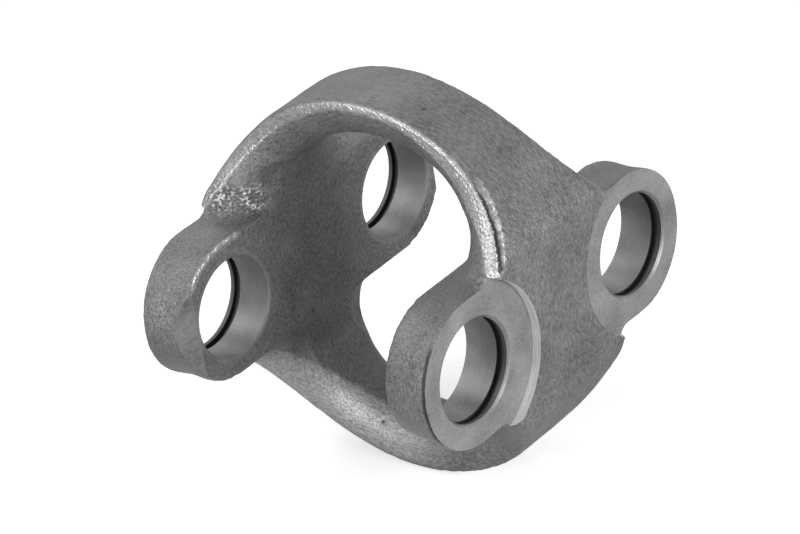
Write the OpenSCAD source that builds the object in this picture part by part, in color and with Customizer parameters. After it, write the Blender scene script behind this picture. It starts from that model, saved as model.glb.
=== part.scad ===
// Centre yoke of a double cardan joint, a single steel forging.
// A short hoop round the shaft joins four ears, two at each end. Each pair of
// ears carries one joint cross, whose bearing cups press into the bores.
// X is the shaft axis, Y the bore axes, and Z points up. The origin is on the
// shaft axis, midway between the two bore axes.

/* [Bores] */
// Diameter of each bearing cup bore
bore_d = 27; // [22:0.1:30]
// Distance between the two bore axes, along the shaft
bore_pitch = 67.4; // [62:0.2:84]
// Chamfer at the outer mouth of each bore
outer_chamfer = 0.65; // [0.2:0.05:1.2]
// Chamfer at the inner mouth of each bore
inner_chamfer = 0.4; // [0.2:0.05:1]
// Distance from an ear's face in to the snap ring groove
groove_inset = 1.7; // [1.3:0.1:3]
// Width of each snap ring groove
groove_w = 2.1; // [1:0.1:3]
// Depth of each snap ring groove below the bore
groove_depth = 1.2; // [0.4:0.1:1.6]

/* [Ears] */
// Depth of the machined ear faces below the cheek pads
spotface_depth = 2.6; // [1:0.1:5]
// Thickness of each ear, from its machined face to the gap
ear_t = 13.6; // [11:0.1:17]
// Rim radius of each ear at its outer face
rim_r = 19.9; // [18:0.1:22]
// Draft angle of the ear rims, which narrow towards the gap
rim_draft = 5; // [0:0.5:9]
// Radius of the spot-faced ring round each bore
spotface_r = 23.3; // [22:0.1:25]
// Size of the flat machined across the inner tip of the -X +Y ear
front_relief = 4.4; // [1:0.1:6]
// Size of the flat machined across the inner tip of the +X +Y ear
rear_relief = 2.4; // [0.5:0.1:5]
// Angle of the ear tip flats to the ears' inner faces
relief_angle = 40; // [30:1:60]

/* [Hoop] */
// Outer diameter of the hoop
hoop_d = 107.2; // [96:0.2:118]
// Depth of the two flat cheek pads below the hoop's round
pad_depth = 5.5; // [3:0.1:8]
// Thickness of the hoop at its crown
crown_t = 12; // [8:0.1:14]
// Radius that blends the opening's flat cheeks into its crown
throat_blend = 4.8; // [2:0.5:10]
// Width of the hoop's crown, along the shaft
crown_w = 21.7; // [18.6:0.2:26]
// Radius of the waist curve that widens the hoop down to the ears
waist_r = 45.6; // [40:1:60]
// Radius of the fillet where the hoop runs into the ears
ear_fillet = 3.2; // [1:0.2:5]
// Rounding of the hoop's outer edge at its crown
crown_round = 1.2; // [0.4:0.1:2]
// Rounding of the hoop's outer edge at the cheek pads
pad_round = 2.8; // [1:0.1:4]
// Width of the flat land round the hoop's front and back
land_w = 1.5; // [0.5:0.1:3]
// Length of the flare between the land and the throat
flare_len = 7.3; // [4:0.2:9.2]
// Bulge of the flare: 0 is a straight chamfer, 1 a quarter ellipse
flare_bulge = 0.8; // [0.3:0.05:1]
// Half length of the straight throat at the cheeks
cheek_throat = 8.7; // [5:0.5:12]

/* [Hidden] */
$fn = 96;
forged = [0.42, 0.42, 0.42];

bore_r = bore_d / 2;
bore_x = bore_pitch / 2;
hoop_r = hoop_d / 2;
throat_r = hoop_r - crown_t;
pad_y = hoop_r - pad_depth;
face_y = pad_y - spotface_depth;
gap_y = face_y - ear_t;
groove_y = face_y - groove_inset - groove_w;

// How much an ear's rim narrows from its outer face to the gap
rim_taper = ear_t * tan(rim_draft);
// Height of the ears' upper side where the hoop runs into it
ear_top = rim_r - rim_taper / 2;
// Height of the upper edge of a cheek pad, where the hoop's round begins
pad_top = sqrt(pow(hoop_r, 2) - pow(pad_y, 2));
// How far pieces overlap where they join, and cuts run past the faces they leave
overlap = 2;
// Where the ears' flanks start inside the hoop
ear_root = cheek_throat - overlap;

// Half width of the hoop's edge at height z, along the waist curve
waist_x = crown_w / 2 + waist_r;
function waist(z) = waist_x - sqrt(pow(waist_r, 2) - pow(hoop_r - max(z, ear_top), 2));

// How far the fillet at the ears' upper side reaches out at height z
function toe(z) =
    let (above = min(max(z - ear_top, 0), ear_fillet))
    ear_fillet - sqrt(pow(ear_fillet, 2) - pow(ear_fillet - above, 2));

// Distance from the shaft axis to the hoop's outside, at angle a from the Y axis
function outer_r(a) = a < acos(pad_y / hoop_r) ? pad_y / cos(a) : hoop_r;

// Distance from the shaft axis to the throat: a flat cheek, a blend, the crown
blend_y = gap_y - throat_blend;
blend_z = sqrt(pow(throat_r - throat_blend, 2) - pow(blend_y, 2));
function blend_reach(a) = blend_y * cos(a) + blend_z * sin(a);
function blend_r(a) =
    blend_reach(a) + sqrt(pow(blend_reach(a), 2) - pow(throat_r - throat_blend, 2) + pow(throat_blend, 2));
function inner_r(a) =
    a < atan2(blend_z, gap_y) ? gap_y / cos(a)
    : a > atan2(blend_z, blend_y) ? throat_r
    : blend_r(a);

// The hoop is lofted over rungs. A rung is one section of it, seen along the
// shaft as a line from the throat to the outside: [throat point, outside point].
// Rungs are level beside the ears, and fan out from there to the crown.
fillet_steps = 6;
crown_steps = 18;
function level_rung(z) = [[gap_y, z], [min(pad_y, sqrt(pow(hoop_r, 2) - z * z)), z]];
function polar(r, a) = [r * cos(a), r * sin(a)];
function fan_rung(t, start) =
    let (a_in = atan2(start[0][1], start[0][0]), a_out = atan2(start[1][1], start[1][0]))
    let (b_in = a_in + (90 - a_in) * t, b_out = a_out + (90 - a_out) * t)
    [polar(inner_r(b_in), b_in), polar(outer_r(b_out), b_out)];
fan_start = level_rung(max(pad_top, ear_top + ear_fillet));
quadrant = concat(
    [level_rung(0), level_rung(ear_top / 2)],
    [for (i = [0 : fillet_steps - 1]) level_rung(ear_top + ear_fillet * (1 - cos(90 * i / fillet_steps)))],
    [for (i = [0 : crown_steps]) fan_rung(i / crown_steps, fan_start)]);

// Rounding of the hoop's outer edge, growing from the crown to the pads
function edge_round(z) = crown_round + (pad_round - crown_round) * min(1, (hoop_r - z) / (hoop_r - pad_top));

// One half of a rung's section, as [x, depth below the outside]: a bulging
// flare runs from the throat to the land, and the outer edge is rounded
flare_steps = 8;
round_steps = 3;
function bulged(u) = flare_bulge * sin(90 * u) + (1 - flare_bulge) * u;
function half_section(rung) =
    let (z = rung[1][1], depth = norm(rung[1] - rung[0]), er = edge_round(z))
    let (edge_x = waist(z) + toe(z), throat_x = min(waist(z) - flare_len, cheek_throat))
    concat(
        [for (i = [0 : flare_steps]) let (u = i / flare_steps, land = er + land_w)
            [throat_x + (edge_x - throat_x) * bulged(u), land + (depth - land) * bulged(1 - u)]],
        [for (i = [0 : round_steps]) let (t = 90 * i / round_steps)
            [edge_x - er + er * cos(t), er - er * sin(t)]]);

// The whole section of a rung in space, as a closed loop of [x, y, z] points
function section(rung) =
    let (half = half_section(rung), n = len(half), inward = (rung[0] - rung[1]) / norm(rung[0] - rung[1]))
    [for (i = [0 : 2 * n - 1])
        let (p = i < n ? half[i] : half[2 * n - 1 - i], yz = rung[1] + inward * p[1])
        [i < n ? p[0] : -p[0], yz[0], yz[1]]];

// The sections of all four quadrants, each [Y direction, Z direction] in turn
function turned(points, y, z) = [for (p = points) [p[0], y * p[1], z * p[2]]];
last = len(quadrant) - 1;
sections = [for (rung = quadrant) section(rung)];
loops = concat(
    [for (i = [0 : last]) turned(sections[i], 1, 1)],
    [for (i = [last - 1 : -1 : 0]) turned(sections[i], -1, 1)],
    [for (i = [1 : last]) turned(sections[i], -1, -1)],
    [for (i = [last - 1 : -1 : 1]) turned(sections[i], 1, -1)]);

module hoop() {
    count = len(loops);
    size = len(loops[0]);
    faces = [for (i = [0 : count - 1], j = [0 : size - 1])
        let (i2 = (i + 1) % count, j2 = (j + 1) % size)
        [i * size + j, i2 * size + j, i2 * size + j2, i * size + j2]];
    polyhedron([for (loop = loops, p = loop) p], faces, convexity = 6);
}

// A cone or cylinder on the bore axis, from y0 to y1, with radius r0 at y0 and r1 at y1
module on_bore(y0, y1, r0, r1) {
    translate([bore_x, y0, 0]) rotate([-90, 0, 0]) cylinder(h = y1 - y0, r1 = r0, r2 = r1);
}

// One ear, on the +X +Y side, left thick for the facing cut
module ear() {
    spread = (pad_y - gap_y) * tan(rim_draft);
    inner = rim_r - rim_taper;
    on_bore(gap_y, pad_y, inner, inner + spread);
    translate([ear_root, 0, 0])
        rotate([90, 0, 90])
            linear_extrude(bore_x - ear_root)
                polygon([[gap_y, -inner], [pad_y, -inner - spread], [pad_y, inner + spread], [gap_y, inner]]);
}

// Everything machined round one bore: facing cut, bore, mouths and snap ring groove
module bore_cuts() {
    on_bore(face_y, pad_y + overlap, spotface_r, spotface_r);
    on_bore(gap_y - overlap, pad_y + overlap, bore_r, bore_r);
    on_bore(face_y - outer_chamfer, face_y + overlap, bore_r, bore_r + outer_chamfer + overlap);
    on_bore(gap_y - overlap, gap_y + inner_chamfer, bore_r + inner_chamfer + overlap, bore_r);
    on_bore(groove_y, groove_y + groove_w, bore_r + groove_depth, bore_r + groove_depth);
}

// Repeats a +X +Y piece for all four ears
module four_times() {
    for (x = [0, 1], y = [0, 1]) mirror([x, 0, 0]) mirror([0, y, 0]) children();
}

// A flat machined at an angle across the inner tip of the +X +Y ear
module tip_cut(relief) {
    tip_x = bore_x + rim_r - rim_taper;
    size = 4 * rim_r;
    translate([tip_x - relief, gap_y, 0])
        rotate([0, 0, relief_angle - 90])
            translate([0, -size / 2, -size / 2])
                cube(size);
}

module centre_yoke() {
    color(forged) difference() {
        union() {
            hoop();
            four_times() ear();
        }
        four_times() bore_cuts();
        tip_cut(rear_relief);
        mirror([1, 0, 0]) tip_cut(front_relief);
    }
}

centre_yoke();
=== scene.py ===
import math

import bmesh
import bpy
from mathutils import Matrix, Vector, kdtree, noise


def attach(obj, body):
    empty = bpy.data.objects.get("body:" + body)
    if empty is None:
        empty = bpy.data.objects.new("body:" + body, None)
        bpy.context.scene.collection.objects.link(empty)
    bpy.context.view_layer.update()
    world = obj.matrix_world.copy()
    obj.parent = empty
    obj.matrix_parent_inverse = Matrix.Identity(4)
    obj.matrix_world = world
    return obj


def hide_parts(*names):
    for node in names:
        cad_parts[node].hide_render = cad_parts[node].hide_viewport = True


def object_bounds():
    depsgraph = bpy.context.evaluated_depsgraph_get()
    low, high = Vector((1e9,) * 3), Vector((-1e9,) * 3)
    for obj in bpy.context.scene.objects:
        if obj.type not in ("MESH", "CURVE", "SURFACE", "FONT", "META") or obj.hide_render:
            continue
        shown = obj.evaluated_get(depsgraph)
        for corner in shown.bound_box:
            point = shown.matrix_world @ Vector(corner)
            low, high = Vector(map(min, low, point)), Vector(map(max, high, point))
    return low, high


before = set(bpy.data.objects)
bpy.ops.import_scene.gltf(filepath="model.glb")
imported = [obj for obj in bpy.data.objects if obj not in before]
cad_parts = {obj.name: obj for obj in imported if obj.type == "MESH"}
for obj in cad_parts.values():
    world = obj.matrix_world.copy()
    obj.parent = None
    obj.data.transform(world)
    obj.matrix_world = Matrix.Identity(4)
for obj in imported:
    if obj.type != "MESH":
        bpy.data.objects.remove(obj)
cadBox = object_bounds()
mm = 0.001
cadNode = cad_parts["centre_yoke"]
print("frame loaded, box in mm", [[round(c / mm, 2) for c in corner] for corner in cadBox])

# Sizes are in millimetres, except the stage's, and angles in degrees. Left is +Y, and the
# front is -X. A swell, dent, tilt, tear or wander is a wave, given as its height and its size.

# The machined shape, as the part's source has it
machining = {
    "boreRadius": 13.5, "boreX": 33.7,
    "faceY": 45.5, "gapY": 31.9, "padY": 48.1,
    "outerChamfer": 0.65, "innerChamfer": 0.4,
    "grooveStart": 41.7, "grooveEnd": 43.8, "grooveRadius": 14.7,
    "spotfaceRadius": 23.3, "rimRadius": 19.9, "rimDraft": 5.0,
    "reliefs": {(-1, 1): 4.4, (1, 1): 2.4},  # flats across inner ear tips: (X side, Y side) and size
    "reliefAngle": 40.0,
    "reliefReach": 40.0,        # the flats' cutters stop short of the opposite ears
    "past": 3.0,                # how far the ears' cutters run past the metal
    "segments": 144,
}

# The forged skin
forging = {
    "hoopRadius": 53.6, "crownWidth": 21.7, "waistRadius": 45.6, "earTop": 19.3, "padRound": 2.8,
    "throatRadius": 41.6, "throatBlend": 4.8, "flareLength": 7.3, "cheekThroat": 8.7,
    "boreFill": 0.8,            # the bores are filled that far past the ears' faces
    "padFillRise": 20.8,        # the spot faces run that far up and down into the pads
    "padFillPast": 0.6, "padFillBelow": 1.5, "padFillSteps": 12,
    "voxel": 0.84,              # grid that the forging is remeshed on
    "softenFactor": 0.5, "softenRounds": 6,      # more gives larger fillets
    "swell": (0.10, 9.0),       # slow waves in the skin
    "dents": (0.05, 1.6),       # small dents
}

# Where the flare meets the throat, its inner part is set back to leave a crease
crease = {
    "slope": 0.62, "limit": 0.8, "slack": 0.5,
    "heights": (20, 25),        # it fades in between these heights
    "ends": (4, 6),             # and out between these distances from the throat's end
    "fineAlong": (-1.2, 2.2), "fineDeep": (-0.8, 2),     # where the grid is finer
}

# The rough band round the hoop's front and rear, where its flash was trimmed off. Its pale colour is partly
# the bare torn metal's own and partly a painted highlight, put on its upper half only
trimmed = {
    "outer": 0.9,               # where the band starts, in from the hoop's outside
    # Where it ends, at angles round from the left ears over the crown to the right ones
    "inner": [(20, 3.6), (47, 4.5), (70, 3.6), (80, 2.4), (104, 2.6), (115, 4.2),
              (128, 6.2), (136, 6.6), (145, 4.9), (155, 3.2)],
    # tone: the band's paleness at those angles, its bare metal's tone with a painted highlight, strongest
    # over the crown and on the right
    "tone": [(20, 0.45), (60, 0.35), (84, 0.9), (155, 1.0)],      # how bright it is, at the same angles
    "outerFade": (-0.5, 0.1), "innerFade": (-0.4, 0.6), "frontFade": (-3.4, -2.6), "cheekFade": 2.5,
    "below": 0.2,               # how much of it the lower arch has
    "plate": 1.2, "height": 0.16,         # size and height of the torn plates
    "gap": 0.22, "sink": 0.35,            # the gaps between the plates
    "even": 0.7, "tilt": (0.6, 2.1), "tear": (0.14, 0.6),
}

# The torn ridge along the band: its inner border by the left ears, its outer one by the right ears. Its
# bright tone is a painted highlight along it
ridge = {
    "left": ((18, 26), (50, 68)), "right": ((96, 106), (134, 144)),      # angles of its rise and fall
    "inward": 0.5, "leftWidth": 0.7, "rightWidth": 0.6, "deepest": 8,
    "wander": (0.25, 2.3), "even": 0.75, "tear": (0.5, 1.4),
    "height": 0.32, "tone": 1.3,
}

# The lap in the metal beside the band, near the front right ear: a line cut in and painted dark as its shade,
# and a raised lip painted bright as a highlight
lap = {
    "angles": ((128, 138), (156, 159)), "deep": (-1, 2.4), "back": 3, "wander": (0.2, 1.3),
    "line": 0.7, "lineWidth": 0.42, "lineCut": 0.45, "lineDark": 1.5,
    "lip": 0.05, "lipWidth": 0.4, "lipLift": 0.3,
}

# The step along the rim of the front right ear, just behind its machined face: cut in and painted dark as its
# shade
step = {
    "angles": ((-50, -38), (38, 50)), "deep": (-0.8, 2.2), "beside": (-1.5, 1.2), "wander": (0.15, 1.5),
    "line": 0.8, "width": 0.6, "cut": 0.45, "dark": 1.6,
}

# Flash left standing on the inner edges of ear rims. Angles are round from the ear's tip.
lips = [
    {"ear": (-1, 1), "from": 40, "to": 116, "fade": 9, "height": 0.95, "reach": 1.1, "torn": True},
    {"ear": (-1, 1), "from": -86, "to": -22, "fade": 24, "height": 0.75, "reach": 8.0, "torn": False},
    {"ear": (1, -1), "from": 34, "to": 112, "fade": 24, "height": 0.75, "reach": 8.0, "torn": False},
    {"ear": (1, 1), "from": 50, "to": 110, "fade": 9, "height": 0.4, "reach": 1.5, "torn": True},
]
lipShape = {
    "before": 0.6, "behindTip": 14, "beside": 1.2,       # how far off the rim's edge a lip reaches
    "falloff": (0.2, 1), "even": 0.65, "tears": ((0.5, 2.2), (0.3, 0.7)),
    # toneGain and toneStart make the flash on the upper side of the left ears' rims paler: partly its bare
    # metal, partly a painted highlight
    "toneGain": 2, "toneStart": 0.3,
}

# Coarse wrinkled skin: centres, radii and strengths
coarsePlaces = [
    ((-21, 41.5, 23.5), 7.5, 0.9), ((-16.5, 35.8, 22.3), 6.5, 0.9), ((20, 37.5, 22), 7.0, 0.7),
    ((-50, 41, 6), 9.0, 0.35), ((-48, -40, 8), 7.0, 0.5), ((19, -38, -23), 7.0, 0.6),
    ((-14, -22, -45), 15.0, 0.35)]
coarse = {
    "core": 0.3,                # share of the radius with full strength
    "wrinkle": (0.8, 0.8, 0.5), "steep": 2.4, "patch": (1, 2.2),
    # dark paints the wrinkles' hollows darker as shade, and crest is where their crests are painted pale as
    # highlights
    "relief": 0.17, "swell": (0.3, 2.4), "dark": 0.6, "crest": (0.1, 1.0),
}

# Single marks: place, radius, and height, where a pit's height is negative; pits are also painted dark as
# their shade
markPlaces = [
    ((-8.6, 11.6, -43.4), 0.8, -0.3), ((-7.3, 25.5, -33.2), 0.9, 0.3), ((-2.8, -15.5, 51.3), 0.6, -0.25),
    ((-5.8, 31.9, -16.6), 0.7, -0.4), ((-45.5, -41.2, 15.6), 0.9, 0.35), ((-37.8, 44, 19.3), 0.9, 0.25),
    ((22, 37, 20.3), 1.3, 0.4), ((-24.7, -44.1, 21.2), 1.0, 0.4), ((-26.8, -43.9, 20), 0.8, 0.35)]
markShape = {"dark": (0.35, 1.0), "side": (0.2, 1.5), "reach": 1.6, "fine": 1.7}

# The front flare of the lower arch, painted paler as the light falling on it and given a smoother finish:
# heights, angles and depths where it fades in and out
brightFlare = {"below": 8, "angles": ((22, 34), (82, 108)), "depths": ((0.6, 1.8), (11.2, 12))}

# Amounts over which the grid is made finer, and over which finer still
fineGrid = {"trimmed": 0.02, "lip": 0.1, "coarse": 0.2, "finestCoarse": 0.25, "finestTone": 0.5}


def newObject(name, mesh):
    obj = bpy.data.objects.new(name, mesh)
    bpy.context.scene.collection.objects.link(obj)
    return obj


def meshFrom(bm, name):
    mesh = bpy.data.meshes.new(name)
    bm.to_mesh(mesh)
    bm.free()
    return mesh


def applied(obj):
    # The object with its modifiers worked into its mesh
    view = bpy.context.evaluated_depsgraph_get()
    mesh = bpy.data.meshes.new_from_object(obj.evaluated_get(view))
    obj.modifiers.clear()
    old = obj.data
    obj.data = mesh
    bpy.data.meshes.remove(old)
    return obj


def pointTree(mesh):
    tree = kdtree.KDTree(len(mesh.vertices))
    for v in mesh.vertices:
        tree.insert(v.co, v.index)
    tree.balance()
    return tree


def addRound(bm, y0, y1, r0, r1, xSide, ySide):
    # A cone on one bore's axis, from y0 (radius r0) to y1 (radius r1)
    m = machining
    place = Matrix.Translation((xSide * m["boreX"] * mm, ySide * (y0 + y1) / 2 * mm, 0))
    turn = Matrix.Rotation(math.radians(-90 * ySide), 4, "X")
    bmesh.ops.create_cone(
        bm, cap_ends=True, segments=m["segments"], radius1=r0 * mm, radius2=r1 * mm,
        depth=(y1 - y0) * mm, matrix=place @ turn)


fourEars = [(x, y) for x in (-1, 1) for y in (-1, 1)]
draftSlope = math.tan(math.radians(machining["rimDraft"]))


def rimAt(y):
    # Radius of an ear's rim at a distance from the shaft
    return machining["rimRadius"] - (machining["faceY"] - y) * draftSlope


def waist(z):
    # Half width of the hoop's edge at a height
    f = forging
    rise = f["hoopRadius"] - max(abs(z), f["earTop"])
    r = f["waistRadius"]
    return f["crownWidth"] / 2 + r - math.sqrt(max(r * r - rise * rise, 0))


def addPadFill(bm, xSide, ySide):
    # The part of a cheek pad that a spot face cuts into, filled level with the pad
    m, f = machining, forging
    radius = m["spotfaceRadius"] + f["padFillPast"]
    low, steps = m["faceY"] - f["padFillBelow"], f["padFillSteps"]
    heights = [f["padFillRise"] * (2 * i / steps - 1) for i in range(steps + 1)]
    padEdge = [(waist(z) - f["padRound"], z) for z in heights]
    arc = [(m["boreX"] - math.sqrt(radius * radius - z * z), z) for z in reversed(heights)]
    outline = [bm.verts.new((xSide * x * mm, ySide * low * mm, z * mm)) for x, z in padEdge + arc]
    base = bm.faces.new(outline)
    raised = bmesh.ops.extrude_face_region(bm, geom=[base], use_keep_orig=True)["geom"]
    top = [v for v in raised if isinstance(v, bmesh.types.BMVert)]
    bmesh.ops.translate(bm, verts=top, vec=(0, ySide * (m["padY"] - low) * mm, 0))
    bmesh.ops.recalc_face_normals(bm, faces=list({face for v in top + outline for face in v.link_faces}))


# The forging before machining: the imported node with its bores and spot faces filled
def rawForging():
    m, f = machining, forging
    bm = bmesh.new()
    bm.from_mesh(cadNode.data)
    bmesh.ops.remove_doubles(bm, verts=bm.verts, dist=1e-6)
    top = m["faceY"] + f["boreFill"]
    for x, y in fourEars:
        addRound(bm, m["gapY"], top, rimAt(m["gapY"]), rimAt(top), x, y)
        addPadFill(bm, x, y)
    obj = newObject("yoke", meshFrom(bm, "yoke"))
    remesh = obj.modifiers.new("grid", "REMESH")
    remesh.mode = "VOXEL"
    remesh.voxel_size = f["voxel"] * mm
    soften = obj.modifiers.new("soften", "SMOOTH")
    soften.factor = f["softenFactor"]
    soften.iterations = f["softenRounds"]
    return applied(obj)


yoke = rawForging()
print("forging remeshed, faces", len(yoke.data.polygons))

# The marks are moved to the nearest points of the skin
skin = pointTree(yoke.data)
marks = [(skin.find(Vector(center) * mm)[0] / mm, radius, height) for center, radius, height in markPlaces]


def smoothStep(low, high, value):
    t = min(max((value - low) / (high - low), 0), 1)
    return t * t * (3 - 2 * t)


def spanned(value, rise, fall):
    # 1 between a rise and a fall, and 0 beyond them
    return smoothStep(*rise, value) * (1 - smoothStep(*fall, value))


def around(place, fade):
    return place + fade[0], place + fade[1]


def peak(distance, width):
    return max(0, 1 - abs(distance) / width)


def wave(p, shape):
    height, size = shape
    return height * noise.noise(p / size)


def between(table, value):
    # A value read off a table of pairs, along straight lines from one to the next
    if value <= table[0][0]:
        return table[0][1]
    for (x0, y0), (x1, y1) in zip(table, table[1:]):
        if value <= x1:
            return y0 + (y1 - y0) * (value - x0) / (x1 - x0)
    return table[-1][1]


def hoopPlace(p):
    # Angle round the hoop from the left ears on the front, or the right ones on the rear, and
    # depth below its outside
    left = p.y if p.x < 0 else -p.y
    return math.degrees(math.atan2(abs(p.z), left)), forging["hoopRadius"] - math.hypot(p.y, p.z)


def trimmedAmount(p):
    # How much a point lies on the trimmed band
    t, top = trimmed, forging["earTop"]
    if abs(p.z) < top:
        return 0.0
    angle, inside = hoopPlace(p)
    inner = between(t["inner"], angle)
    if inside > inner + t["innerFade"][1] or abs(p.x) < waist(p.z) + t["frontFade"][0]:
        return 0.0
    band = spanned(inside, around(t["outer"], t["outerFade"]), around(inner, t["innerFade"]))
    front = smoothStep(*t["frontFade"], abs(p.x) - waist(p.z))
    return band * front * smoothStep(top, top + t["cheekFade"], abs(p.z)) * (1 if p.z > 0 else t["below"])


def outsideThroat(p):
    # Distance outside the throat's surface: flat cheeks, a round crown and blends between them
    f = forging
    blend = f["throatBlend"]
    y = machining["gapY"] - blend
    z = math.sqrt((f["throatRadius"] - blend) ** 2 - y * y)
    overY, overZ = abs(p.y) - y, abs(p.z) - z
    byCheek = overZ * y < overY * z
    if byCheek and overY > 0 and overZ > 0:
        return math.hypot(overY, overZ) - blend
    if byCheek:
        return abs(p.y) - machining["gapY"]
    return math.hypot(p.y, p.z) - f["throatRadius"]


def pastThroat(p):
    # Distance along the shaft from the throat's end, out into the flare
    f = forging
    return abs(p.x) - min(waist(p.z) - f["flareLength"], f["cheekThroat"])


def creaseShift(p):
    # How far the flare's inner part is set back, so that it meets the throat in a crease
    c = crease
    if abs(p.z) < c["heights"][0]:
        return 0.0
    past, outside = pastThroat(p), outsideThroat(p)
    if not 0 < past < c["ends"][1] or outside > c["slope"] * past or outside < -c["slack"]:
        return 0.0
    shift = min(c["slope"] * past - outside, c["limit"])
    return shift * smoothStep(*c["heights"], abs(p.z)) * (1 - smoothStep(*c["ends"], past))


def nearCrease(p):
    c = crease
    if p.x > 0 or abs(p.z) < c["heights"][0]:
        return False
    along, deep = c["fineAlong"], c["fineDeep"]
    return along[0] < pastThroat(p) < along[1] and deep[0] < outsideThroat(p) < deep[1]


def ridgeAmount(p):
    # How much a point lies on the torn ridge along the band
    t, r = trimmed, ridge
    if p.z < forging["earTop"]:
        return 0.0
    angle, inside = hoopPlace(p)
    if not 0 < inside < r["deepest"] or abs(p.x) < waist(p.z) + t["frontFade"][0]:
        return 0.0
    wander = wave(p, r["wander"])
    onLeft = peak(inside - between(t["inner"], angle) + r["inward"] + wander, r["leftWidth"])
    onRight = peak(inside - t["outer"] - r["inward"] + wander, r["rightWidth"])
    amount = spanned(angle, *r["left"]) * onLeft + spanned(angle, *r["right"]) * onRight
    return amount * (r["even"] + wave(p, r["tear"]))


def trimmedToneAndHighlight(p):
    # How bright the torn metal is painted there: its own bare tone with a painted highlight, on the upper
    # half only
    band = trimmedAmount(p) * between(trimmed["tone"], hoopPlace(p)[0])
    return max(band, min(1, ridge["tone"] * ridgeAmount(p))) if p.z > 0 else 0.0


def lapPlace(p):
    # Depth below the hoop's outside, and how much of the lap there is at that angle
    if p.x > 0 or p.y > 0 or p.z < forging["earTop"]:
        return 0.0, 0.0
    angle, inside = hoopPlace(p)
    if not lap["deep"][0] < inside < lap["deep"][1] or abs(p.x) < waist(p.z) - lap["back"]:
        return 0.0, 0.0
    return inside, spanned(angle, *lap["angles"])


def lapAmount(p):
    # How much a point lies on the lap's line, painted dark as shade, and on the lip beside it, painted bright
    # as a highlight
    inside, along = lapPlace(p)
    if along == 0:
        return 0.0, 0.0
    wander = wave(p, lap["wander"])
    line = peak(inside - lap["line"] - wander, lap["lineWidth"])
    lip = peak(inside - lap["lip"] - wander, lap["lipWidth"])
    return min(1, lap["lineDark"] * line) * along, lip * along


def stepPlace(p):
    # Depth behind the front right ear's machined face, and how much of the step there is at that angle
    m, s = machining, step
    depth = m["faceY"] + p.y
    if p.x > -m["boreX"] or p.y > 0 or not s["deep"][0] < depth < s["deep"][1]:
        return 0.0, 0.0
    reach = math.hypot(p.x + m["boreX"], p.z)
    if not s["beside"][0] < reach - rimAt(-p.y) < s["beside"][1]:
        return 0.0, 0.0
    return depth, spanned(math.degrees(math.atan2(p.z, -p.x - m["boreX"])), *s["angles"])


def stepAmount(p):
    # How much of the step is cut in and painted dark as shade
    depth, span = stepPlace(p)
    if span == 0:
        return 0.0
    return span * min(1, step["dark"] * peak(depth - step["line"] - wave(p, step["wander"]), step["width"]))


def lipHeight(p):
    # How far left-over flash pushes a point on an ear's rim outwards
    m, s = machining, lipShape
    push = 0.0
    for lip in lips:
        x, y = lip["ear"]
        fromTip, depth = x * p.x - m["boreX"], y * p.y - m["gapY"]
        if depth < -s["before"] or depth > lip["reach"] or fromTip < -s["behindTip"]:
            continue
        radius = math.hypot(fromTip, p.z) if fromTip > 0 else abs(p.z)
        if abs(radius - rimAt(y * p.y)) >= s["beside"]:
            continue
        angle = math.degrees(math.atan2(p.z, fromTip))
        start, end, fade = lip["from"], lip["to"], lip["fade"]
        span = spanned(angle, (start, start + fade), (end - fade, end))
        sharp = 1 - smoothStep(*s["falloff"], max(depth, 0) / lip["reach"])
        torn = s["even"] + sum(wave(p, tear) for tear in s["tears"]) if lip["torn"] else 1.0
        push += lip["height"] * span * sharp * torn
    return push


def coarseAmount(p):
    return max(strength * (1 - smoothStep(radius * coarse["core"], radius, (p - Vector(center)).length))
               for center, radius, strength in coarsePlaces)


def coarseRelief(p):
    # Wrinkles of the coarse skin, from -1 in the hollows to 1 on the crests
    wrinkle = noise.noise(Vector([c / size for c, size in zip(p, coarse["wrinkle"])]))
    return max(-1, min(1, coarse["steep"] * wrinkle + wave(p, coarse["patch"])))


def crestHighlightAmount(p):
    # How much a crest of the coarse skin is painted pale, as a highlight
    return coarseAmount(p) ** 2 * smoothStep(*coarse["crest"], coarseRelief(p))


def pitAmount(p):
    # How much a pit is painted dark as its shade
    return max(1 - smoothStep(*markShape["dark"], (p - center).length / radius) if height < 0 else 0
               for center, radius, height in marks)


def brightAmount(p):
    # How much a point lies on the front flare of the lower arch, which is painted paler as lit
    b, top = brightFlare, forging["earTop"]
    if p.z > -top or p.x > 0:
        return 0.0
    angle, inside = hoopPlace(p)
    low = smoothStep(top, top + b["below"], -p.z)
    return low * spanned(angle, *b["angles"]) * spanned(inside, *b["depths"])


def tornToneAndHighlight(p):
    # Paleness of torn metal: the band and ridge, the flash on the upper left ear rims and the lap's lip,
    # partly bare metal and partly painted highlight
    s = lipShape
    flash = max(0, lipHeight(p) * s["toneGain"] - s["toneStart"]) if p.y > 0 and p.z > 0 else 0
    return min(1, trimmedToneAndHighlight(p) + flash + lapAmount(p)[1])


def paintedShadeAmount(p):
    # Painted shade: the lap's line, the step, pits and the coarse skin's hollows
    hollow = -coarse["dark"] * coarseAmount(p) * coarseRelief(p)
    return max(lapAmount(p)[0], stepAmount(p), pitAmount(p), hollow)


def needsDetail(p):
    g = fineGrid
    if trimmedAmount(p) > g["trimmed"] or lipHeight(p) > g["lip"]:
        return True
    if stepPlace(p)[1] > 0 or lapPlace(p)[1] > 0 or nearCrease(p):
        return True
    if coarseAmount(p) > g["coarse"] and (p.z > 0 or p.x < 0):
        return True
    return any((p - center).length < radius * markShape["fine"] for center, radius, height in marks)


def needsFinest(p):
    # The parts of it that the photo shows closest
    g = fineGrid
    if stepPlace(p)[1] > 0 or lapPlace(p)[1] > 0:
        return True
    if p.x > 0 or p.z < 0:
        return False
    if coarseAmount(p) > g["finestCoarse"] or (lipHeight(p) > g["lip"] and p.y > 0):
        return True
    return trimmedToneAndHighlight(p) > g["finestTone"]


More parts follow.
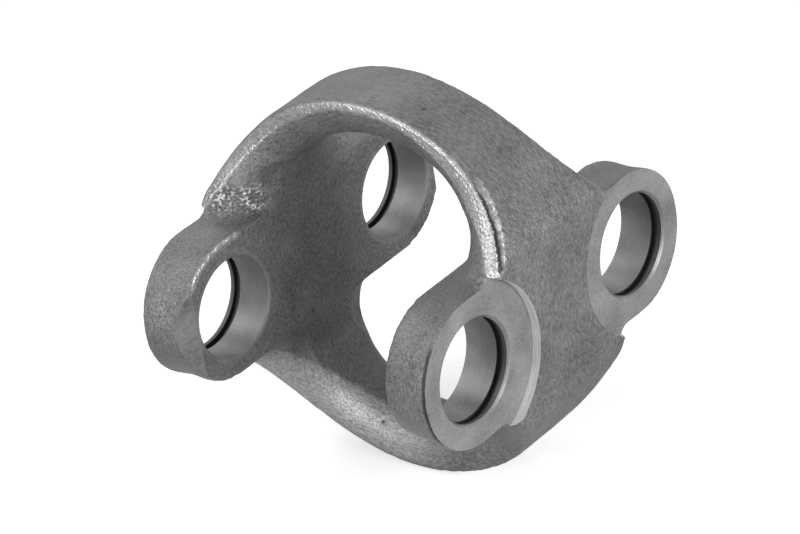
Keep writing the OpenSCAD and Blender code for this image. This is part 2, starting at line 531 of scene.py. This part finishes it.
# A finer grid where the band, lap, step, crease, flash, marks and coarse skin need it
def refine(obj):
    bm = bmesh.new()
    bm.from_mesh(obj.data)
    for needs in (needsDetail, needsFinest):
        fine = {v for v in bm.verts if needs(v.co / mm)}
        edges = [e for e in bm.edges if e.verts[0] in fine and e.verts[1] in fine]
        bmesh.ops.subdivide_edges(bm, edges=edges, cuts=1, use_grid_fill=True)
    old = obj.data
    obj.data = meshFrom(bm, "yoke")
    bpy.data.meshes.remove(old)


refine(yoke)
print("detail refined, faces", len(yoke.data.polygons))

# Masks for the material, worked out before the skin is moved: torn metal's paleness with painted highlights,
# painted shade, the lower flare's painted light, and painted highlights on the coarse skin's crests
masks = {"trimmed": tornToneAndHighlight, "shadowed": paintedShadeAmount, "bright": brightAmount, "coarse": crestHighlightAmount}
skinMasks = {name: [amount(v.co / mm) for v in yoke.data.vertices] for name, amount in masks.items()}


def skinPush(p):
    # How far a point of the skin moves out along its normal
    t = trimmed
    push = wave(p, forging["swell"]) + wave(p, forging["dents"])
    band = trimmedAmount(p)
    if band > 0:
        near, second = noise.voronoi(p / t["plate"])[0][:2]
        plates = smoothStep(0.0, t["gap"], second - near)
        push += band * t["height"] * (plates * (t["even"] + wave(p, t["tilt"])) - t["sink"])
        push += trimmedToneAndHighlight(p) * wave(p, t["tear"])
        push += ridge["height"] * ridgeAmount(p)
    rough = coarseAmount(p)
    if rough > 0:
        push += rough * (coarse["relief"] * coarseRelief(p) + wave(p, coarse["swell"]))
    line, lip = lapAmount(p)
    push += lap["lipLift"] * lip - lap["lineCut"] * line - step["cut"] * stepAmount(p)
    for center, radius, height in marks:
        away = (p - center).length / radius
        if away < markShape["reach"]:
            push += height * (1 - smoothStep(*markShape["side"], away))
    return push


# Waves, dents, torn plates, flash and marks give the skin its uneven surface
def roughen(obj):
    mesh = obj.data
    mesh.update()
    low, high = cadBox
    normals = [v.normal.copy() for v in mesh.vertices]
    for v, n in zip(mesh.vertices, normals):
        p = v.co / mm
        v.co += n * skinPush(p) * mm
        v.co += Vector((0, p.y, p.z)).normalized() * creaseShift(p) * mm
        lift = lipHeight(p)
        if lift > 0:
            x = math.copysign(machining["boreX"], p.x)
            radial = Vector((p.x - x if abs(p.x) > abs(x) else 0, 0, p.z)).normalized()
            v.co += radial * lift * mm
        v.co = Vector([min(max(c, a), b) for c, a, b in zip(v.co, low, high)])


roughen(yoke)
skinPoints = pointTree(yoke.data)
print("skin roughened")


# Everything machined: one cutter per ear, and a block per relief
def earCutter(x, y):
    m = machining
    profile = [  # radius and distance from the shaft, out along the bore
        (m["boreRadius"] + m["innerChamfer"] + m["past"], m["gapY"] - m["past"]),
        (m["boreRadius"], m["gapY"] + m["innerChamfer"]),
        (m["boreRadius"], m["grooveStart"]),
        (m["grooveRadius"], m["grooveStart"]),
        (m["grooveRadius"], m["grooveEnd"]),
        (m["boreRadius"], m["grooveEnd"]),
        (m["boreRadius"], m["faceY"] - m["outerChamfer"]),
        (m["boreRadius"] + m["outerChamfer"], m["faceY"]),
        (m["spotfaceRadius"], m["faceY"]),
        (m["spotfaceRadius"], m["padY"] + m["past"])]
    bm = bmesh.new()
    cx = x * m["boreX"]
    points = [(0, profile[0][1])] + profile + [(0, profile[-1][1])]
    verts = [bm.verts.new(((cx + r) * mm, y * d * mm, 0)) for r, d in points]
    edges = [bm.edges.new(pair) for pair in zip(verts, verts[1:])]
    bmesh.ops.spin(bm, geom=verts + edges, cent=(cx * mm, 0, 0), axis=(0, 1, 0),
                   angle=2 * math.pi, steps=m["segments"], use_merge=True)
    bmesh.ops.remove_doubles(bm, verts=bm.verts, dist=1e-7)
    bmesh.ops.recalc_face_normals(bm, faces=bm.faces)
    return newObject("cutter", meshFrom(bm, "cutter"))


def reliefCutter(x, y, size):
    m = machining
    tip = m["boreX"] + rimAt(m["gapY"])
    reach = m["reliefReach"]
    bm = bmesh.new()
    turn = Matrix.Rotation(math.radians(m["reliefAngle"] - 90), 4, "Z")
    place = Matrix.Translation(((tip - size) * mm, m["gapY"] * mm, 0))
    mirror = Matrix.Diagonal((x, y, 1, 1))
    outward = Matrix.Translation((reach / 2 * mm, 0, 0))
    bmesh.ops.create_cube(bm, size=reach * mm, matrix=mirror @ place @ turn @ outward)
    bmesh.ops.recalc_face_normals(bm, faces=bm.faces)
    return newObject("cutter", meshFrom(bm, "cutter"))


cutters = [earCutter(x, y) for x, y in fourEars]
cutters += [reliefCutter(x, y, size) for (x, y), size in machining["reliefs"].items()]
for cutter in cutters:
    cut = yoke.modifiers.new("cut", "BOOLEAN")
    cut.operation = "DIFFERENCE"
    cut.solver = "MANIFOLD"
    cut.object = cutter
applied(yoke)
for cutter in cutters:
    bpy.data.objects.remove(cutter)
print("machined, faces", len(yoke.data.polygons))

# The finishes, in the order of the material slots. dark and pale are the colour's ends, and
# turned is how close the tool marks lie, per metre, across the radius and along the depth.
# The forged skin's colour carries painted highlights on the torn band, ridge, flash, lap's lip, crests and
# lower flare, and painted shade in the lap's line, the step, pits and hollows
looks = {
    "forgedSkin": {"metallic": 0.35, "grainScale": 1900, "broadShare": 0.2, "dark": 0.066, "pale": 0.225,
                   "strokes": 0.6, "smoothest": 0.38, "roughest": 0.56, "bump": 1.0, "bumpHeight": 0.26,
                   "trimToneAndHighlight": 0.46, "trimRough": 0.26, "trimMetallic": 0.75,
                   "crestHighlightTone": 0.42, "coarseRough": 0.24, "shadowTone": 0.02,
                   "litFlareTone": (0.2, 0.42), "brightRough": 0.42, "brightEven": 0.15},
    "machinedFace": {"metallic": 0.5, "grainScale": 1600, "broadShare": 0.45, "dark": 0.16, "pale": 0.33,
                     "smoothest": 0.40, "roughest": 0.50, "bump": 0.5, "bumpHeight": 0.03,
                     "turned": (5200, 0), "turnedShare": 0.35},
    "boreWall": {"metallic": 0.5, "grainScale": 1300, "broadShare": 0.5, "dark": 0.14, "pale": 0.26,
                 "smoothest": 0.42, "roughest": 0.54, "bump": 0.3, "bumpHeight": 0.02,
                 "turned": (0, 4200), "turnedShare": 0.5},
    "boreLand": {"metallic": 0.4, "grainScale": 1300, "broadShare": 0.2, "dark": 0.05, "pale": 0.12,
                 "smoothest": 0.45, "roughest": 0.6, "bump": 0.5, "bumpHeight": 0.03,
                 "turned": (0, 4200), "turnedShare": 0.7},
    "grooveWall": {"metallic": 0.2, "grainScale": 1300, "broadShare": 0.2, "dark": 0.012, "pale": 0.03,
                   "smoothest": 0.6, "roughest": 0.7, "bump": 0.3, "bumpHeight": 0.02,
                   "turned": (3000, 0), "turnedShare": 0.7},
    "turnedEdge": {"metallic": 0.6, "grainScale": 1500, "broadShare": 0.2, "dark": 0.16, "pale": 0.32,
                   "smoothest": 0.30, "roughest": 0.40, "bump": 0.6, "bumpHeight": 0.04,
                   "turned": (2500, 5200), "turnedShare": 0.8},
    # The spot face walls' near-white colour is a painted highlight
    "spotfaceWall": {"metallic": 0.3, "grainScale": 1500, "broadShare": 0.2, "dark": 0.6, "pale": 0.98,
                     "smoothest": 0.28, "roughest": 0.40, "bump": 0.6, "bumpHeight": 0.05,
                     "turned": (0, 3800), "turnedShare": 0.85},
    "milledFlat": {"metallic": 0.4, "grainScale": 900, "broadShare": 0.5, "dark": 0.10, "pale": 0.22,
                   "strokes": 0.2, "smoothest": 0.40, "roughest": 0.55, "bump": 0.5, "bumpHeight": 0.06},
}
finishes = list(looks)
crispAngle = math.radians(25)

# How exactly a face has to lie where a finish is, how far its normal has to run along the
# bore or off it, and where the milled flats begin along X
sorting = {
    "beside": 0.05, "deep": 0.02, "mouth": 0.01,
    "across": 0.9, "level": 0.99, "upright": 0.1, "slope": 0.003,
    "flatX": 44,
}


# Which finish a face has, from where it lies and how it is turned
def finishOf(center, normal):
    m, s = machining, sorting
    p = center / mm
    reach = math.hypot(abs(p.x) - m["boreX"], p.z)
    out = abs(p.y)
    acrossBore = abs(normal.y)
    if reach < m["grooveRadius"] + s["beside"] and m["gapY"] - s["beside"] < out < m["faceY"] - s["mouth"]:
        if out > m["faceY"] - m["outerChamfer"] + s["deep"]:
            return "turnedEdge"
        if out < m["grooveStart"] - s["beside"]:
            return "boreWall"
        return "grooveWall" if acrossBore > s["across"] else "boreLand"
    onFace = abs(out - m["faceY"]) < s["deep"] and acrossBore > s["level"]
    if onFace and reach < m["spotfaceRadius"] + s["beside"]:
        return "machinedFace"
    onWall = abs(reach - m["spotfaceRadius"]) < s["beside"] and acrossBore < s["upright"]
    if onWall and out > m["faceY"] - s["deep"]:
        return "spotfaceWall"
    angle = math.radians(m["reliefAngle"])
    turnedOff = max(abs(abs(normal.x) - math.sin(angle)), abs(acrossBore - math.cos(angle)))
    return "milledFlat" if turnedOff < s["slope"] and abs(p.x) > s["flatX"] else "forgedSkin"


yoke.data.materials.clear()
bm = bmesh.new()
bm.from_mesh(yoke.data)
for face in bm.faces:
    face.material_index = finishes.index(finishOf(face.calc_center_median(), face.normal))
    face.smooth = True
for edge in bm.edges:
    kinds = {face.material_index for face in edge.link_faces}
    crisp = len(kinds) > 1 or (kinds != {0} and edge.calc_face_angle(0) > crispAngle)
    edge.smooth = not crisp
bm.to_mesh(yoke.data)
bm.free()
nearest = [skinPoints.find(v.co)[1] for v in yoke.data.vertices]
for name, amounts in skinMasks.items():
    layer = yoke.data.attributes.new(name, "FLOAT", "POINT")
    for index, skinIndex in enumerate(nearest):
        layer.data[index].value = amounts[skinIndex]
counts = [sum(1 for f in yoke.data.polygons if f.material_index == i) for i in range(len(finishes))]
print("faces by finish", dict(zip(finishes, counts)),
      "triangles", sum(len(f.vertices) - 2 for f in yoke.data.polygons))


def linked(tree, kind, values=None, **settings):
    # A new node with its settings, and its inputs set to values or linked to sockets
    node = tree.nodes.new(kind)
    for key, value in settings.items():
        setattr(node, key, value)
    for key, value in (values or {}).items():
        if isinstance(value, bpy.types.NodeSocket):
            tree.links.new(value, node.inputs[key])
        else:
            node.inputs[key].default_value = value
    return node


def calculated(tree, operation, a, b=0.0):
    return linked(tree, "ShaderNodeMath", {0: a, 1: b}, operation=operation).outputs[0]


# Patterns of all finishes. Each span is the part of a noise's range that is used.
patterns = {
    "detail": 3, "roughness": 0.6, "smoothness": 0.6, "broadScale": 90, "drift": 90,
    "strokeStretch": 0.28,      # strokes run round the hoop: less gives longer ones
    "pebbleShare": 0.4, "evenHeight": 0.5,
    "roughSpan": (0.3, 0.7), "toneSpan": (0.38, 0.62), "tornSpan": (0.35, 0.6), "tornLeast": 0.5,
}


def newGroup(name, inputs, outputs):
    group = bpy.data.node_groups.new(name, "ShaderNodeTree")
    for way, names in (("INPUT", inputs), ("OUTPUT", outputs)):
        for socket in names:
            group.interface.new_socket(socket, in_out=way, socket_type="NodeSocketFloat")
    given, result = group.nodes.new("NodeGroupInput").outputs, group.nodes.new("NodeGroupOutput").inputs
    return group, given, result, group.nodes.new("ShaderNodeTexCoord").outputs["Object"]


# Grain: the forged skin's pebbles, patches, and strokes round the hoop, on Object coordinates
def grainGroup():
    group, given, result, place = newGroup("Grain", ["Scale"], ["Fine", "Pebbles", "Broad", "Strokes"])
    g, scale = patterns, given["Scale"]
    texture = {"Scale": scale, "Detail": g["detail"], "Roughness": g["roughness"]}
    fine = linked(group, "ShaderNodeTexNoise", {"Vector": place, **texture})
    pebbles = linked(group, "ShaderNodeTexVoronoi",
                     {"Vector": place, "Scale": scale, "Smoothness": g["smoothness"]}, feature="SMOOTH_F1")
    broad = linked(group, "ShaderNodeTexNoise",
                   {"Vector": place, "Scale": g["broadScale"], "Detail": g["detail"]})
    axes = linked(group, "ShaderNodeSeparateXYZ", {0: place}).outputs
    angle = calculated(group, "ARCTAN2", axes["Z"], calculated(group, "ABSOLUTE", axes["Y"]))
    squares = [calculated(group, "MULTIPLY", axes[axis], axes[axis]) for axis in "YZ"]
    radius = calculated(group, "SQRT", calculated(group, "ADD", *squares))
    length = calculated(group, "MULTIPLY", angle, g["strokeStretch"] * forging["hoopRadius"] * mm)
    unrolled = linked(group, "ShaderNodeCombineXYZ", {"X": axes["X"], "Y": length, "Z": radius})
    strokes = linked(group, "ShaderNodeTexNoise", {"Vector": unrolled.outputs[0], **texture})
    for name, socket in (("Fine", fine.outputs["Fac"]), ("Pebbles", pebbles.outputs["Distance"]),
                         ("Broad", broad.outputs["Fac"]), ("Strokes", strokes.outputs["Fac"])):
        group.links.new(socket, result[name])
    return group


# Turned: fine tool marks round a bore's axis, across its radius and along its depth
def turnedGroup():
    group, given, result, place = newGroup("Turned", ["Across", "Along"], ["Marks"])
    g = patterns
    axes = linked(group, "ShaderNodeSeparateXYZ", {0: place}).outputs
    side = calculated(group, "ABSOLUTE", axes["X"])
    fromBore = calculated(group, "SUBTRACT", side, machining["boreX"] * mm)
    flat = linked(group, "ShaderNodeCombineXYZ", {"X": fromBore, "Z": axes["Z"]})
    reach = linked(group, "ShaderNodeVectorMath", {0: flat.outputs[0]}, operation="LENGTH").outputs["Value"]
    spread = linked(group, "ShaderNodeCombineXYZ", {
        "X": calculated(group, "MULTIPLY", reach, given["Across"]),
        "Y": calculated(group, "MULTIPLY", axes["Y"], given["Along"]),
        "Z": calculated(group, "MULTIPLY", axes["Z"], g["drift"])})
    lines = linked(group, "ShaderNodeTexNoise", {"Vector": spread.outputs[0], "Scale": 1,
                                                 "Detail": g["detail"], "Roughness": g["roughness"]})
    group.links.new(lines.outputs["Fac"], result["Marks"])
    return group


grain, turned = grainGroup(), turnedGroup()


def steel(name, look):
    mat = bpy.data.materials.new(name)
    mat.use_nodes = True
    tree, g = mat.node_tree, patterns
    shader = tree.nodes["Principled BSDF"]
    shader.inputs["Metallic"].default_value = look["metallic"]

    def ranged(value, low, high, span):
        return linked(tree, "ShaderNodeMapRange", {
            "Value": value, "From Min": span[0], "From Max": span[1],
            "To Min": low, "To Max": high}).outputs["Result"]

    def mixed(a, b, share):
        return linked(tree, "ShaderNodeMix", {"Factor": share, "A": a, "B": b}).outputs["Result"]

    def mask(attribute):
        return linked(tree, "ShaderNodeAttribute", attribute_name=attribute).outputs["Fac"]

    pattern = linked(tree, "ShaderNodeGroup", node_tree=grain)
    pattern.inputs["Scale"].default_value = look["grainScale"]
    fine = pattern.outputs["Fine"]
    if "turned" in look:
        tool = linked(tree, "ShaderNodeGroup", node_tree=turned)
        tool.inputs["Across"].default_value, tool.inputs["Along"].default_value = look["turned"]
        fine = mixed(fine, tool.outputs["Marks"], look["turnedShare"])
        height = fine
    else:
        fine = mixed(fine, pattern.outputs["Strokes"], look["strokes"])
        height = mixed(fine, pattern.outputs["Pebbles"], g["pebbleShare"])
    patches = mixed(fine, pattern.outputs["Broad"], look["broadShare"])
    colour = ranged(patches, look["dark"], look["pale"], g["toneSpan"])
    rough = ranged(fine, look["smoothest"], look["roughest"], g["roughSpan"])
    if "trimToneAndHighlight" in look:
        # Torn metal: its own bare tone with painted highlights
        torn = calculated(tree, "MULTIPLY", mask("trimmed"), ranged(fine, g["tornLeast"], 1.0, g["tornSpan"]))
        colour, rough = mixed(colour, look["trimToneAndHighlight"], torn), mixed(rough, look["trimRough"], torn)
        # Crests of the coarse skin painted pale as highlights
        crestHighlight = mask("coarse")
        colour, rough = mixed(colour, look["crestHighlightTone"], crestHighlight), mixed(rough, look["coarseRough"], crestHighlight)
        bare = calculated(tree, "MAXIMUM", torn, crestHighlight)
        metallic = ranged(bare, look["metallic"], look["trimMetallic"], (0, 1))
        tree.links.new(metallic, shader.inputs["Metallic"])
        # The lower front flare: paler colour as painted light, smoother and evener as its finish
        bright = mask("bright")
        litFlareColour = ranged(fine, *look["litFlareTone"], g["toneSpan"])
        colour, rough = mixed(colour, litFlareColour, bright), mixed(rough, look["brightRough"], bright)
        height = mixed(height, g["evenHeight"], calculated(tree, "MULTIPLY", bright, look["brightEven"]))
        # Painted shade in the lap's line, the step, pits and hollows
        colour = mixed(colour, look["shadowTone"], mask("shadowed"))
    tree.links.new(colour, shader.inputs["Base Color"])
    tree.links.new(rough, shader.inputs["Roughness"])
    bump = linked(tree, "ShaderNodeBump", {
        "Strength": look["bump"], "Distance": look["bumpHeight"] * mm, "Height": height})
    tree.links.new(bump.outputs["Normal"], shader.inputs["Normal"])
    return mat


for name in finishes:
    yoke.data.materials.append(steel(name, looks[name]))
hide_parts("centre_yoke")
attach(yoke, "root")
print("yoke finished")

# Camera, from the fit to the bore mouths and the outline. The focal length is in pixels.
cameraFit = {
    "place": (-676.544, -613.924, 501.605),
    "right": (0.60594, -0.78195, -0.14628), "down": (-0.46189, -0.1961, -0.86499),
    "forward": (0.64769, 0.5917, -0.48), "focal": 4073.1,
    "imageWidth": 800, "sensorWidth": 36, "clip": (0.01, 20),
}
lens = bpy.data.cameras.new("camera")
lens.sensor_width = cameraFit["sensorWidth"]
lens.lens = cameraFit["focal"] / cameraFit["imageWidth"] * cameraFit["sensorWidth"]
lens.clip_start, lens.clip_end = cameraFit["clip"]
camera = newObject("camera", lens)
axes = [Vector(cameraFit["right"]), -Vector(cameraFit["down"]), -Vector(cameraFit["forward"])]
turn = Matrix([axis.normalized() for axis in axes]).transposed().to_4x4()
camera.matrix_world = Matrix.Translation(Vector(cameraFit["place"]) * mm) @ turn
bpy.context.scene.camera = camera

# Stage, in metres: a pale floor under the hoop, and soft lamps round it
stage = {
    "floor": (0.86, 0.86, 0.86), "floorRough": 0.9, "floorSize": 6, "floorGap": 0.0001,
    "floorSeen": 0.55,          # added where the camera sees the floor, so that it comes out white
    "surround": 0.08,           # how much the white surroundings light the yoke
    "lampDistance": 0.9, "lampSize": 0.45,
}
lamps = {  # direction round from +X and up from the floor in degrees, and power
    "right": {"round": 270, "up": 13, "power": 7.4},
    "front": {"round": 178, "up": 14, "power": 4.1},
    "left": {"round": 135, "up": 38, "power": 1.3},
    "rear": {"round": 45, "up": 40, "power": 0.9},
    "upper": {"round": 115, "up": 52, "power": 1.7},
}
bm = bmesh.new()
bmesh.ops.create_grid(bm, x_segments=1, y_segments=1, size=stage["floorSize"],
                      matrix=Matrix.Translation((0, 0, cadBox[0].z - stage["floorGap"])))
floor = newObject("floor", meshFrom(bm, "floor"))
paint = bpy.data.materials.new("floorPaint")
paint.use_nodes = True
tree = paint.node_tree
paintInputs = tree.nodes["Principled BSDF"].inputs
paintInputs["Base Color"].default_value = (*stage["floor"], 1)
paintInputs["Roughness"].default_value = stage["floorRough"]
paintInputs["Emission Color"].default_value = (1, 1, 1, 1)
rays = tree.nodes.new("ShaderNodeLightPath").outputs
glow = calculated(tree, "MULTIPLY", rays["Is Camera Ray"], stage["floorSeen"])
tree.links.new(glow, paintInputs["Emission Strength"])
floor.data.materials.append(paint)
for name, lamp in lamps.items():
    light = bpy.data.lights.new(name, "AREA")
    light.shape = "DISK"
    light.size = stage["lampSize"]
    light.energy = lamp["power"]
    obj = newObject(name, light)
    up, heading = math.radians(lamp["up"]), math.radians(lamp["round"])
    toward = Vector((math.cos(up) * math.cos(heading), math.cos(up) * math.sin(heading), math.sin(up)))
    obj.location = toward * stage["lampDistance"]
    obj.rotation_euler = toward.to_track_quat("Z", "Y").to_euler()

world = bpy.data.worlds.new("studio")
bpy.context.scene.world = world
world.use_nodes = True
tree = world.node_tree
sky = tree.nodes["Background"].inputs
rays = tree.nodes.new("ShaderNodeLightPath").outputs
seen = rays["Is Camera Ray"]
for ray in ("Is Glossy Ray", "Is Transmission Ray"):
    seen = calculated(tree, "MAXIMUM", seen, rays[ray])
shown = linked(tree, "ShaderNodeMapRange", {"Value": seen, "To Min": stage["surround"], "To Max": 1.0})
tree.links.new(shown.outputs["Result"], sky["Strength"])
sky["Color"].default_value = (1, 1, 1, 1)
bpy.context.scene.view_settings.view_transform = "Standard"
print("stage set")
